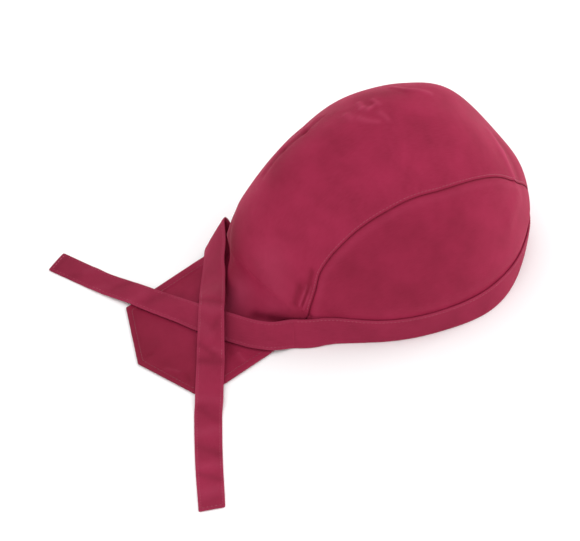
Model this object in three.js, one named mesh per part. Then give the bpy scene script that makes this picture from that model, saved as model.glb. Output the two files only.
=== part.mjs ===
// Chef's bandana cap: a crown of three cloth panels on a headband, whose middle panel runs on
// into a pointed tail at the nape, and two flat ties that cross on the tail.
// Millimetres, +Z up. The cap stands on its rim at z = 0 with its brow to +X and the wearer's
// left to +Y. Walls are laid out in the cap's own frame and the whole group is then centred.
import * as THREE from "three";
import { mergeVertices } from "three/addons/utils/BufferGeometryUtils.js";

// ---------------------------------------------------------------- driving dimensions
const CROWN_HEIGHT = 138;      // top of the crown above the table
const POLE_X = 8.9;            // where the crown's meridians meet, ahead of the ears
const CROWN_SQUARE = 1.085;    // 1 is an ellipsoid's rise, more is squarer at the band
const BAND_WIDTH = 20;         // finished width of the headband
const TIE_WIDTH = 19.2;        // finished width of a tie
const PANEL_CLOTH = 1.2;       // wall of the crown panels and the tail
const BAND_CLOTH = 1.6;        // folded wall of the headband
const TIE_CLOTH = 1.4;         // folded wall of a tie
const SEAM_GAP = 0.45;         // clearance left between pieces that are sewn together
const SEAM_EASE = 0.15;        // the same clearance along an arch seam, in degrees of spread
const TABLE = 0;               // height that everything rests on

// Meridians of the crown and the band below them, by bearing from the brow, the same on both sides.
// reach: radius at the band's top edge. fullness: under 1 bulges, over 1 is slack.
// lean: how steeply the band climbs from its bottom edge. turn: how far that climb swings
// from the radius towards square with the side of the head.
const MERIDIANS = [
  { bearing: 0, reach: 93.8, fullness: 1.18, lean: 98, turn: 0 },
  { bearing: 30, reach: 87, fullness: 0.78, lean: 97, turn: 0 },
  { bearing: 60, reach: 81.8, fullness: 0.97, lean: 87, turn: 0 },
  { bearing: 90, reach: 79.7, fullness: 1.04, lean: 93, turn: 3 },
  { bearing: 120, reach: 83.8, fullness: 0.96, lean: 90.5, turn: 17 },
  { bearing: 138, reach: 88.5, fullness: 0.9, lean: 77, turn: 34 },
  { bearing: 150, reach: 97, fullness: 0.85, lean: 60, turn: 46 },
  { bearing: 180, reach: 119.3, fullness: 0.75, lean: 52, turn: 50 },
];

// Half width of the middle panel in degrees of spread, by station: the angle from the pole
// towards the brow (+90 is the band at the brow) or towards the nape (negative).
const ARCH = [
  { station: -76, spread: 44.3 },
  { station: -66, spread: 41.6 },
  { station: -57, spread: 37.9 },
  { station: -40, spread: 38.3 },
  { station: -15, spread: 41.2 },
  { station: 5, spread: 42.4 },
  { station: 20, spread: 39.3 },
  { station: 40, spread: 31.6 },
  { station: 58, spread: 25 },
  { station: 74, spread: 14.5 },
  { station: 90, spread: 3 },
];
const BROW_STATION = 90;
const NAPE_STATION = -74;

// Soft swells and dents of the crown: where (station, spread), how wide, how far out.
const SWELLS = [
  { station: 28, spread: 4, radius: 16, rise: 2.2 },
  { station: 48, spread: 0, radius: 14, rise: -1.2 },
  { station: 68, spread: -6, radius: 12, rise: 1.6 },
];

// The tail, flat on the table: corners of its root and its pointed end. Right is the wearer's right.
const TAIL_HEADING = 201;      // degrees in plan
const TAIL = {
  rootRight: [-109, -56.6],
  rootLeft: [-113, 46.6],
  cornerRight: [-162.2, -77.1],
  point: [-189.5, -29.9],
  cornerLeft: [-176.1, 22.6],
};
const ROOT_BULGE = 18;         // the root line bows backwards round the nape
// The neck sweeps from the nape down to the tail's root: handle lengths at its edges and middle,
// how far its middle is drawn in under the ties, and how far its edges tuck in behind the band.
const NECK = { dropEdge: 8, dropMiddle: 26, runEdge: 13, runMiddle: 16, waist: 11, tuck: 8.5 };

// The band runs past the arch seams to the joints with the ties, standing off the cloth there.
const JOINT_BEARING = 153.8;
const STAND_OFF = { from: 144, distance: 4.4 };

// Cross lines of the ties, from the lower edge up: the lower edge's place, the plan heading
// of the line across, how steeply that line climbs, and its length.
const RIGHT_TIE = [
  { x: -88.4, y: -57.7, z: 0.7, heading: 77, climb: 54 },
  { x: -102.9, y: -54.6, z: 3.1, heading: 64, climb: 46 },
  { x: -114.1, y: -46.8, z: 2.4, heading: 51, climb: 42 },
  { x: -122.8, y: -38.4, z: 2.3, heading: 44, climb: 37 },
  { x: -132.7, y: -27.4, z: 2.3, heading: 40.5, climb: 30 },
  { x: -141.6, y: -17.4, z: 2.3, heading: 38, climb: 22 },
  { x: -152, y: -2.8, z: 2.3, heading: 36.5, climb: 13 },
  { x: -162.8, y: 10.8, z: 2.3, heading: 36.3, climb: 8 },
  { x: -176.3, y: 28.7, z: 2.3, heading: 35.4, climb: 3 },
  { x: -187.8, y: 44.2, z: 0.9, heading: 34, climb: 1 },
  { x: -196.3, y: 57, z: 0.7, heading: 34.4, climb: 0 },
  { x: -209, y: 75, z: 0.7, heading: 35.5, climb: 0 },
];
const LEFT_TIE = [
  { x: -88.4, y: 57.7, z: 0.7, heading: -77, climb: 56, length: 19 },
  { x: -99, y: 56.5, z: 1.5, heading: -15, climb: 54, length: 24 },
  { x: -105.6, y: 53, z: 2.8, heading: 4, climb: 49, length: 30 },
  { x: -109.4, y: 46.8, z: 3.6, heading: 1, climb: 47, length: 28 },
  { x: -114.8, y: 36, z: 3.2, heading: -30, climb: 43, length: 21.5 },
  { x: -121.2, y: 24.3, z: 3, heading: -28.6, climb: 37, length: 20.6 },
  { x: -125.5, y: 15.9, z: 4.6, heading: -24, climb: 31, length: 19.8 },
  { x: -131.2, y: 3.6, z: 9.7, heading: -25.7, climb: 24, length: 19.2 },
  { x: -136.4, y: -7.3, z: 9.3, heading: -27, climb: 23, length: 19.2 },
  { x: -141.5, y: -18.6, z: 6.8, heading: -27, climb: 22, length: 19.2 },
  { x: -147.4, y: -31, z: 4.4, heading: -22, climb: 15, length: 19.2 },
  { x: -154.7, y: -47.3, z: 2.7, heading: -22.4, climb: 6, length: 19.2 },
  { x: -162.6, y: -64.4, z: 2.4, heading: -21, climb: 1.5, length: 19.2 },
  { x: -169, y: -79, z: 2.4, heading: -21, climb: 0, length: 19.2 },
  { x: -174.6, y: -91, z: 0.9, heading: -20.5, climb: 0, length: 19 },
  { x: -191.8, y: -134, z: 0.7, heading: -20.5, climb: 0, length: 18.8 },
  { x: -207.2, y: -176.6, z: 0.7, heading: -8, climb: 0, length: 18.6 },
];

// Mesh fineness: divisions along and across each piece.
const DIVISIONS = {
  crownStations: [90, 88, 82, 75, 68, 60, 52, 44, 36, 28, 20, 12, 4, -4, -12, -20, -28, -36, -44,
    -52, -60, -66, -70, -74],
  neck: 8,
  tail: 4,
  panelAcross: 16,
  sideAcross: 8,
  bandAround: 64,
  bandAcross: 2,
  tieAlong: 2.5,               // divisions for each cross line of its table
  tieAcross: 2,
};

// ---------------------------------------------------------------- small mathematics
const radians = THREE.MathUtils.degToRad;

// Value of a table's column at x, on a smooth curve through its rows. A mirrored table is
// reflected at both ends, so that the curve is level there.
function columnAt(table, key, column, x, mirrored = false) {
  const last = table.length - 1;
  let i = 0;
  while (i < last - 1 && x > table[i + 1][key]) i += 1;
  const row = (k) => {
    const end = k < 0 ? 0 : last;
    if (k >= 0 && k <= last) return [table[k][key], table[k][column]];
    const inner = mirrored ? 2 * end - k : end + Math.sign(end - k);
    const place = 2 * table[end][key] - table[inner][key];
    const value = table[inner][column];
    return [place, mirrored ? value : 2 * table[end][column] - value];
  };
  const [[x0, y0], [x1, y1], [x2, y2], [x3, y3]] = [i - 1, i, i + 1, i + 2].map(row);
  const span = x2 - x1;
  const t = THREE.MathUtils.clamp((x - x1) / span, 0, 1);
  const slopeIn = ((y2 - y0) / (x2 - x0)) * span;
  const slopeOut = ((y3 - y1) / (x3 - x1)) * span;
  const [t2, t3] = [t * t, t * t * t];
  return (2 * t3 - 3 * t2 + 1) * y1 + (t3 - 2 * t2 + t) * slopeIn
    + (3 * t2 - 2 * t3) * y2 + (t3 - t2) * slopeOut;
}

// Direction whose plan heading and climb are given in degrees.
function direction(heading, climb) {
  const [h, c] = [radians(heading), radians(climb)];
  return new THREE.Vector3(Math.cos(c) * Math.cos(h), Math.cos(c) * Math.sin(h), Math.sin(c));
}

function meridian(column, bearing) {
  return columnAt(MERIDIANS, "bearing", column, Math.abs(bearing), true);
}

// ---------------------------------------------------------------- surfaces
// Point of the crown at a bearing (degrees from the brow, + to the wearer's left) and a latitude
// (0 at the band, 90 at the pole).
function crownPoint(bearing, latitude) {
  const [cos, sin] = [Math.cos(radians(latitude)), Math.sin(radians(latitude))];
  const slack = 1 + (meridian("fullness", bearing) - 1) * cos;
  const radius = meridian("reach", bearing) * Math.max(cos, 0) ** slack;
  const base = BAND_WIDTH * Math.sin(radians(meridian("lean", bearing))) + SEAM_GAP;
  const height = base + (CROWN_HEIGHT - base) * Math.max(sin, 0) ** CROWN_SQUARE;
  const out = direction(bearing, 0);
  return new THREE.Vector3(POLE_X + radius * out.x, radius * out.y, height);
}

// The crown seen flat from its pole: station towards the brow, spread towards the left.
function crownAt(station, spread) {
  const fromPole = Math.min(Math.hypot(station, spread), 90);
  const bearing = THREE.MathUtils.radToDeg(Math.atan2(spread, station));
  const point = crownPoint(bearing, 90 - fromPole);
  const outward = new THREE.Vector3(point.x - POLE_X, point.y, point.z).normalize();
  for (const swell of SWELLS) {
    const away = Math.hypot(station - swell.station, spread - swell.spread) / swell.radius;
    point.addScaledVector(outward, swell.rise * Math.exp(-away * away));
  }
  return point;
}

function archSpread(station) {
  return columnAt(ARCH, "station", "spread", station);
}

// Point on a line of the tail: across runs from -1 at its right edge to 1 at its left.
function tailRoot(across) {
  const right = new THREE.Vector3(...TAIL.rootRight, TABLE + PANEL_CLOTH);
  const left = new THREE.Vector3(...TAIL.rootLeft, TABLE + PANEL_CLOTH);
  const bulge = ROOT_BULGE * (1 - across * across);
  return right.lerp(left, (across + 1) / 2).addScaledVector(direction(TAIL_HEADING, 0), bulge);
}

function tailEnd(across) {
  const corner = new THREE.Vector3(
    ...(across < 0 ? TAIL.cornerRight : TAIL.cornerLeft), TABLE + PANEL_CLOTH);
  const point = new THREE.Vector3(...TAIL.point, TABLE + PANEL_CLOTH);
  return point.lerp(corner, Math.abs(across));
}

// The neck: one sweep for each place across, leaving the nape downwards and reaching the table flat.
function neckPoint(across, along) {
  const start = crownAt(NAPE_STATION, across * (archSpread(NAPE_STATION) - SEAM_EASE));
  const above = crownAt(NAPE_STATION + 2, across * (archSpread(NAPE_STATION + 2) - SEAM_EASE));
  const middle = 1 - across * across;
  const drop = NECK.dropEdge + (NECK.dropMiddle - NECK.dropEdge) * middle;
  const run = NECK.runEdge + (NECK.runMiddle - NECK.runEdge) * middle;
  const down = start.clone().addScaledVector(start.clone().sub(above).normalize(), drop);
  down.x += NECK.waist * middle;
  down.y -= NECK.tuck * across ** 3;
  const end = tailRoot(across);
  const flat = end.clone().addScaledVector(direction(TAIL_HEADING, 0), -run);
  return new THREE.CubicBezierCurve3(start, down, flat, end).getPoint(along);
}

function middlePanelPoint(row, across) {
  const { crownStations, neck, tail } = DIVISIONS;
  const rows = crownStations.length - 1;
  if (row <= rows) {
    const low = Math.min(Math.floor(row), rows - 1);
    const station = THREE.MathUtils.lerp(crownStations[low], crownStations[low + 1], row - low);
    return crownAt(station, across * (archSpread(station) - SEAM_EASE));
  }
  if (row <= rows + neck) return neckPoint(across, (row - rows) / neck);
  return tailRoot(across).lerp(tailEnd(across), (row - rows - neck) / tail);
}

// A side panel: from the band's top edge up to the arch seam at each crown station.
function sidePanelPoint(side, station, up) {
  const spread = archSpread(station) + SEAM_EASE;
  const toDegrees = THREE.MathUtils.radToDeg;
  const seamBearing = toDegrees(Math.atan2(spread, station));
  const seamLatitude = 90 - Math.hypot(station, spread);
  const brow = toDegrees(Math.atan2(archSpread(BROW_STATION), BROW_STATION));
  const nape = toDegrees(Math.atan2(archSpread(NAPE_STATION), NAPE_STATION));
  const along = (BROW_STATION - station) / (BROW_STATION - NAPE_STATION);
  const footBearing = THREE.MathUtils.lerp(brow, nape, along);
  const bearing = radians(THREE.MathUtils.lerp(footBearing, seamBearing, up));
  const fromPole = 90 - seamLatitude * up;
  return crownAt(fromPole * Math.cos(bearing), side * fromPole * Math.sin(bearing));
}

// The band's outer face: up runs from 0 at the rim to 1 at its top edge.
function bandPoint(bearing, up) {
  const side = Math.sign(bearing) || 1;
  const size = Math.abs(bearing);
  const free = Math.max(0, (size - STAND_OFF.from) / (JOINT_BEARING - STAND_OFF.from));
  const radius = meridian("reach", size) + STAND_OFF.distance * free;
  const lean = meridian("lean", size);
  const out = direction(size, 0);
  const top = new THREE.Vector3(
    POLE_X + radius * out.x, radius * out.y, BAND_WIDTH * Math.sin(radians(lean)));
  const climb = direction(size + 180 - meridian("turn", size), lean);
  top.addScaledVector(climb, -BAND_WIDTH * (1 - up));
  return new THREE.Vector3(top.x, side * top.y, top.z);
}

// The middle of a tie's cloth: along counts the cross lines of its table.
function tiePoint(table, along, across) {
  const rows = table.map((row, place) => ({ length: TIE_WIDTH, ...row, place }));
  const value = (column) => columnAt(rows, "place", column, along);
  const line = direction(value("heading"), value("climb")).multiplyScalar(value("length") * across);
  return new THREE.Vector3(value("x"), value("y"), value("z")).add(line);
}

// ---------------------------------------------------------------- solids
// A wall of cloth as a closed solid: a flat slab, divided along and across, whose two faces are
// carried onto the surface. outer and inner say how far each face stands from that surface.
function clothWall(along, across, surface, outer, inner) {
  const slab = new THREE.BoxGeometry(1, 1, 1, along, across, 1);
  slab.deleteAttribute("normal");
  slab.deleteAttribute("uv");
  const geometry = mergeVertices(slab);
  const place = geometry.getAttribute("position");
  const step = 1e-3;
  for (let i = 0; i < place.count; i += 1) {
    const u = place.getX(i) + 0.5;
    const v = place.getY(i) + 0.5;
    const lengthwise = surface(Math.min(u + step, 1), v).sub(surface(Math.max(u - step, 0), v));
    const crosswise = surface(u, Math.min(v + step, 1)).sub(surface(u, Math.max(v - step, 0)));
    const normal = lengthwise.cross(crosswise).normalize();
    const point = surface(u, v).addScaledVector(normal, place.getZ(i) > 0 ? outer : inner);
    place.setXYZ(i, point.x, point.y, Math.max(point.z, TABLE));
  }
  return geometry;
}

function middlePanel() {
  const { crownStations, neck, tail, panelAcross } = DIVISIONS;
  const rows = crownStations.length - 1 + neck + tail;
  const surface = (u, v) => middlePanelPoint(u * rows, 2 * v - 1);
  return clothWall(rows, panelAcross, (u, v) => surface(u, 1 - v), 0, -PANEL_CLOTH);
}

function sidePanel(side) {
  const stations = DIVISIONS.crownStations.slice(1);
  const rows = stations.length - 1;
  const surface = (u, v) => {
    const low = Math.min(Math.floor(u * rows + 1e-9), rows - 1);
    const station = THREE.MathUtils.lerp(stations[low], stations[low + 1], u * rows - low);
    return sidePanelPoint(side, station, v);
  };
  const facing = (u, v) => surface(u, side > 0 ? v : 1 - v);
  return clothWall(rows, DIVISIONS.sideAcross, facing, 0, -PANEL_CLOTH);
}

function headband() {
  const surface = (u, v) => bandPoint(JOINT_BEARING * (2 * u - 1), v);
  return clothWall(DIVISIONS.bandAround, DIVISIONS.bandAcross, surface, 0, -BAND_CLOTH);
}

function tie(table, side) {
  const lines = table.length - 1;
  const surface = (u, v) => tiePoint(table, u * lines, side > 0 ? v : 1 - v);
  const along = Math.round(lines * DIVISIONS.tieAlong);
  return clothWall(along, DIVISIONS.tieAcross, surface, TIE_CLOTH / 2, -TIE_CLOTH / 2);
}

// ---------------------------------------------------------------- the cap
const panelCloth = { color: 0x9c2e47, roughness: 0.82, metalness: 0 };
const strapCloth = { color: 0x8e2840, roughness: 0.84, metalness: 0 };

function piece(name, geometry, cloth) {
  const mesh = new THREE.Mesh(geometry, new THREE.MeshStandardMaterial(cloth));
  mesh.name = name;
  return mesh;
}

const cap = new THREE.Group();
cap.add(
  piece("middle_panel", middlePanel(), panelCloth),
  piece("side_panel_right", sidePanel(-1), panelCloth),
  piece("side_panel_left", sidePanel(1), panelCloth),
  piece("headband", headband(), strapCloth),
  piece("tie_right", tie(RIGHT_TIE, -1), strapCloth),
  piece("tie_left", tie(LEFT_TIE, 1), strapCloth),
);

// The origin goes to the middle of the whole outline, on the table.
const middle = new THREE.Box3().setFromObject(cap).getCenter(new THREE.Vector3());
cap.position.set(-middle.x, -middle.y, -TABLE);

export default cap;
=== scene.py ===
"""Looks of a chef's bandana cap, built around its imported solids, in metres and in their frame.

The cap stands on its rim on a table. A middle panel runs from the brow over the crown, down the
nape and on into a pointed tail; two side panels fill in below its arch seams; a folded headband
goes round the brow and sides, and carries on behind the ears as two folded ties that cross on
the tail. Every piece is a sheet of twill, laid out here in millimetres in the cap's own frame:
the brow to +X, the wearer's left to +Y, the table at z = 0.
"""

import logging
import math
from collections.abc import Callable
from dataclasses import dataclass, field
from enum import Enum

import bmesh
import bpy
import numpy as np
from mathutils import Matrix, Vector


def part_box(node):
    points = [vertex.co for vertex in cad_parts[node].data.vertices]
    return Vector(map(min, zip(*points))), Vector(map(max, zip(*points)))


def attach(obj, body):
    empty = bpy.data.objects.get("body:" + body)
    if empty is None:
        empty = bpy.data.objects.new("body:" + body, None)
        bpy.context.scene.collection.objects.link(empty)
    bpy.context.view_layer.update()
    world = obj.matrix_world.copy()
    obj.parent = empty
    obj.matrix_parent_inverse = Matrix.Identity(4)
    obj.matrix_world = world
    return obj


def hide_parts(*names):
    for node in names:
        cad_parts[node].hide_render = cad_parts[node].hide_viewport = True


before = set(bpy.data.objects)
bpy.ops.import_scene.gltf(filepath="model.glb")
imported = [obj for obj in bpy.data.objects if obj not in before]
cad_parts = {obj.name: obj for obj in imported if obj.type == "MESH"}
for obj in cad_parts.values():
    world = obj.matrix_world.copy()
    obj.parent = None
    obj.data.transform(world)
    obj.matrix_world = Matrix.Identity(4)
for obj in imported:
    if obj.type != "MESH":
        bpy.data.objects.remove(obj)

log = logging.getLogger("cap")

MM = 0.001
BODY = "root"
CLOTH_UV = "cloth_mm"  # the cloth's own coordinates, in millimetres
WAVE_SCALE = math.tau / 20  # scale of a wave texture whose bands are one unit apart

Numbers = np.ndarray
Surface = Callable[[Numbers, Numbers], Numbers]
Row = tuple[Numbers, Numbers]  # points of a line on the cloth, and the cloth's normals there
Pair = tuple[float, float]
Piece = bpy.types.Object
Tree = bpy.types.NodeTree
Socket = bpy.types.NodeSocket
Material = bpy.types.Material


# ---------------------------------------------------------------- small mathematics
def direction(heading: Numbers, climb: Numbers) -> Numbers:
    """Unit vectors whose plan heading and climb are given in degrees.

    Args:
        heading: Plan angle from +X towards +Y, in degrees.
        climb: Angle above the table, in degrees.

    Returns:
        One unit vector for each pair of angles.
    """
    h, c = np.radians(heading), np.radians(climb)
    return np.stack(np.broadcast_arrays(np.cos(c) * np.cos(h), np.cos(c) * np.sin(h), np.sin(c)), -1)


def ease(x: Numbers) -> Numbers:
    """Smooth step from 0 at x = 0 to 1 at x = 1, level at both ends."""
    t = np.clip(x, 0.0, 1.0)
    return t * t * (3.0 - 2.0 * t)


def bump(x: Numbers) -> Numbers:
    """Bell curve, 1 at x = 0 and small past x = 2."""
    return np.exp(-np.square(x))


def mix(a: Numbers, b: Numbers, share: Numbers) -> Numbers:
    """Point that lies a share of the way from a to b, where share has one number a point."""
    return a + (b - a) * np.asarray(share)[..., None]


def unit(vectors: Numbers) -> Numbers:
    """The same vectors, each with a length of 1."""
    return vectors / np.maximum(np.linalg.norm(vectors, axis=-1, keepdims=True), 1e-12)


@dataclass(frozen=True)
class Table:
    """Rows of numbers with named columns, read on a smooth curve through the rows."""

    columns: tuple[str, ...]
    rows: tuple[tuple[float, ...], ...]
    mirrored: bool = False

    def at(self, column: str, place: Numbers) -> Numbers:
        """Value of a column at a place in the first column.

        Args:
            column: Name of the column that is read.
            place: Where to read it, in the units of the first column.

        Returns:
            The column's value there, level at the table's ends if the table is mirrored.
        """
        data = np.array(self.rows, float)
        known, value = data[:, 0], data[:, self.columns.index(column)]
        if self.mirrored:
            before, after = value[1], value[-2]
        else:
            before, after = 2 * value[0] - value[1], 2 * value[-1] - value[-2]
        known = np.concatenate([[2 * known[0] - known[1]], known, [2 * known[-1] - known[-2]]])
        value = np.concatenate([[before], value, [after]])
        i = np.clip(np.searchsorted(known, place, side="left") - 1, 1, len(known) - 3)
        slope = (value[2:] - value[:-2]) / (known[2:] - known[:-2])
        span = known[i + 1] - known[i]
        t = np.clip((place - known[i]) / span, 0.0, 1.0)
        return (
            (2 * t**3 - 3 * t**2 + 1) * value[i]
            + (t**3 - 2 * t**2 + t) * slope[i - 1] * span
            + (3 * t**2 - 2 * t**3) * value[i + 1]
            + (t**3 - t**2) * slope[i] * span
        )


# ---------------------------------------------------------------- the cap's shape
@dataclass(frozen=True)
class Swell:
    """A soft swell or dent of the crown, round, in degrees from the crown's pole."""

    station: float
    spread: float
    radius: float
    rise: float


@dataclass(frozen=True)
class Fold:
    """A soft ridge or furrow along a line, in degrees on the crown and in millimetres elsewhere."""

    start: Pair
    end: Pair
    width: float
    rise: float

    def at(self, along: Numbers, across: Numbers) -> Numbers:
        """Height of the fold at each place, in millimetres."""
        run = np.subtract(self.end, self.start)
        share = (along - self.start[0]) * run[0] + (across - self.start[1]) * run[1]
        share = np.clip(share / (run @ run), 0.0, 1.0)
        away = np.hypot(along - self.start[0] - share * run[0], across - self.start[1] - share * run[1])
        return self.rise * bump(away / self.width)


def folded(folds: tuple[Fold, ...], along: Numbers, across: Numbers) -> Numbers:
    """Height of several folds together at each place, in millimetres."""
    return sum((fold.at(along, across) for fold in folds), 0.0 * along * across)


@dataclass(frozen=True)
class EdgeLine:
    """A soft line beside an edge: how far in, how wide, and how high or how strong it is."""

    inset: float
    width: float
    size: float

    def at(self, inward: Numbers) -> Numbers:
        """Height or strength of the line at each distance from the edge."""
        return self.size * bump((inward - self.inset) / self.width)


class Side(Enum):
    """The wearer's two sides, with the sign that each has across the cap."""

    RIGHT = -1
    LEFT = 1


@dataclass(frozen=True)
class CapShape:
    """Lays out every surface of the cap, in millimetres in the cap's own frame."""

    crown_height: float = 138.0
    pole_x: float = 8.9  # the crown's pole, ahead of the cap's own origin
    crown_square: float = 1.085  # above 1, the crown climbs more gently from the band
    band_width: float = 20.0
    rim_round: float = 0.1  # rounding of the rim that rests on the table
    band_cloth: float = 1.6  # thickness of the folded band
    seam_gap: float = 0.45  # the crown's foot above the band's top edge
    brow_station: float = 90.0  # the middle panel's ends on the crown, in degrees of station
    nape_station: float = -75.5
    joint_bearing: float = 153.8  # where the band ends and a tie carries on
    stand_off_from: float = 144.0  # bearing from which the band stands off the crown
    stand_off: float = 4.4  # how far it stands off at its joint
    degree: float = 1.55  # millimetres of cloth for a degree across the crown
    band_ease: float = 5.0  # height over which the crown draws in to pass behind the band
    meridians: Table = Table(
        ("bearing", "reach", "fullness", "lean", "turn"),
        (
            (0, 93.8, 1.18, 98, 0),
            (30, 87, 0.78, 97, 0),
            (60, 81.8, 0.97, 87, 0),
            (90, 79.7, 1.04, 93, 3),
            (120, 83.8, 0.96, 90.5, 17),
            (138, 88.5, 0.9, 77, 34),
            (150, 97, 0.85, 60, 46),
            (180, 119.3, 0.75, 52, 50),
        ),
        mirrored=True,
    )
    arch: Table = Table(
        ("station", "spread"),
        (
            (-76, 44.3), (-66, 41.6), (-57, 37.9), (-40, 38.3), (-15, 41.2), (5, 42.4),
            (20, 39.3), (40, 31.6), (58, 25), (74, 14.5), (90, 3),
        ),
    )
    swells: tuple[Swell, ...] = (
        Swell(28, 4, 16, 2.2),
        Swell(48, 0, 14, -1.2),
        Swell(68, -6, 12, 1.6),
        Swell(-70, 14, 11.5, 3.5),
    )
    folds: tuple[Fold, ...] = (
        Fold((-12, 12), (-10.8, 5.8), 0.9, 0.7),
        Fold((-10.8, 5.8), (-8.3, 3.4), 0.9, 0.7),
        Fold((-8.3, 3.4), (-6.8, 5.5), 0.9, 0.6),
        Fold((-9.5, 9), (-8, 7), 1.2, -0.15),
        Fold((-6.8, 10.4), (-5.1, 4.3), 0.9, 0.6),
        Fold((-16, 6.2), (-13.5, 2), 0.9, 0.6),
        Fold((-11.5, 1), (-8.3, -3.8), 1, 0.6),
        Fold((-5, 0), (-5.6, -5.7), 0.9, 0.5),
        Fold((6, 19), (10, 10), 1.2, 0.8),
        Fold((10, 10), (18, 5), 1.2, 0.7),
        Fold((-49, 10.5), (-40, 13), 0.9, 0.7),
        Fold((-40, 13), (-31, 13.5), 0.9, 0.8),
        Fold((-31, 13.5), (-26.5, 20), 0.9, 0.7),
        Fold((-47, 7.5), (-38, 10), 1, -0.6),
        Fold((-38, 10), (-30, 10.5), 1, -0.7),
        Fold((-30, 10.5), (-24.5, 16), 1, -0.5),
        Fold((46, -6), (49, -16), 2.4, 1),
        Fold((49, -16), (56, -25), 1.8, 1.1),
        Fold((52, -6), (61, -19), 3.2, -0.6),
        Fold((60, -30), (52, -46), 4, 1.1),
    )

    def crown(self, bearing: Numbers, latitude: Numbers) -> Numbers:
        """Point of the crown at a bearing from the brow and a latitude above the band."""
        cos, sin = np.cos(np.radians(latitude)), np.sin(np.radians(latitude))
        size = np.abs(bearing)
        slack = 1 + (self.meridians.at("fullness", size) - 1) * cos
        radius = self.meridians.at("reach", size) * np.maximum(cos, 0) ** slack
        radius = radius - self.band_cloth * bump(latitude * self.degree / self.band_ease)
        base = self.band_width * np.sin(np.radians(self.meridians.at("lean", size))) + self.seam_gap
        height = base + (self.crown_height - base) * np.maximum(sin, 0) ** self.crown_square
        out = direction(bearing, np.zeros_like(radius)) * radius[..., None]
        return out + np.stack([np.full_like(height, self.pole_x), 0 * height, height], -1)

    def crown_at(self, station: Numbers, spread: Numbers) -> Numbers:
        """Point of the crown seen flat from its pole, with its swells and folds.

        Args:
            station: Degrees from the pole towards the brow.
            spread: Degrees from the pole towards the wearer's left.

        Returns:
            One point of the crown's outer face for each place.
        """
        station, spread = np.broadcast_arrays(np.asarray(station, float), np.asarray(spread, float))
        from_pole = np.minimum(np.hypot(station, spread), 90.0)
        point = self.crown(np.degrees(np.arctan2(spread, station)), 90.0 - from_pole)
        outward = unit(point - np.array([self.pole_x, 0.0, 0.0]))
        rise = np.zeros_like(station)
        for swell in self.swells:
            away = np.hypot(station - swell.station, spread - swell.spread)
            rise = rise + swell.rise * bump(away / swell.radius)
        return point + outward * (rise + folded(self.folds, station, spread))[..., None]

    def arch_spread(self, station: Numbers) -> Numbers:
        """Half width of the middle panel at a station, in degrees of spread."""
        return self.arch.at("spread", station)

    def band(self, bearing: Numbers, up: Numbers, free: bool = True) -> Numbers:
        """Point of the band's outer face.

        Args:
            bearing: Degrees from the brow, positive to the wearer's left.
            up: 0 at the rim and 1 at the band's top edge.
            free: Whether the band stands off the crown where it nears its joint with a tie.

        Returns:
            One point for each place.
        """
        bearing, up = np.broadcast_arrays(np.asarray(bearing, float), np.asarray(up, float))
        size, side = np.abs(bearing), np.where(bearing < 0, -1.0, 1.0)
        loose = np.maximum(0, (size - self.stand_off_from) / (self.joint_bearing - self.stand_off_from))
        radius = self.meridians.at("reach", size) + self.stand_off * loose * free
        lean = self.meridians.at("lean", size)
        heel = np.maximum(self.band_cloth * np.cos(np.radians(lean)) - self.rim_round, 0)
        top = direction(size, 0 * size) * radius[..., None]
        top = top + np.stack(
            [
                np.full_like(radius, self.pole_x),
                0 * radius,
                self.band_width * np.sin(np.radians(lean)) + heel,
            ],
            -1,
        )
        climb = direction(size + 180 - self.meridians.at("turn", size), lean)
        point = top - climb * (self.band_width * (1 - up))[..., None]
        return point * np.stack([np.ones_like(side), side, np.ones_like(side)], -1)

    def behind_band(self, bearing: Numbers, below: Numbers, depth: float) -> Numbers:
        """Point of cloth that hangs behind the band, so far below the band's top edge."""
        point = self.band(bearing, 1 - below / self.band_width, free=False)
        return point - direction(bearing, 0 * point[..., 0]) * depth


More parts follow.
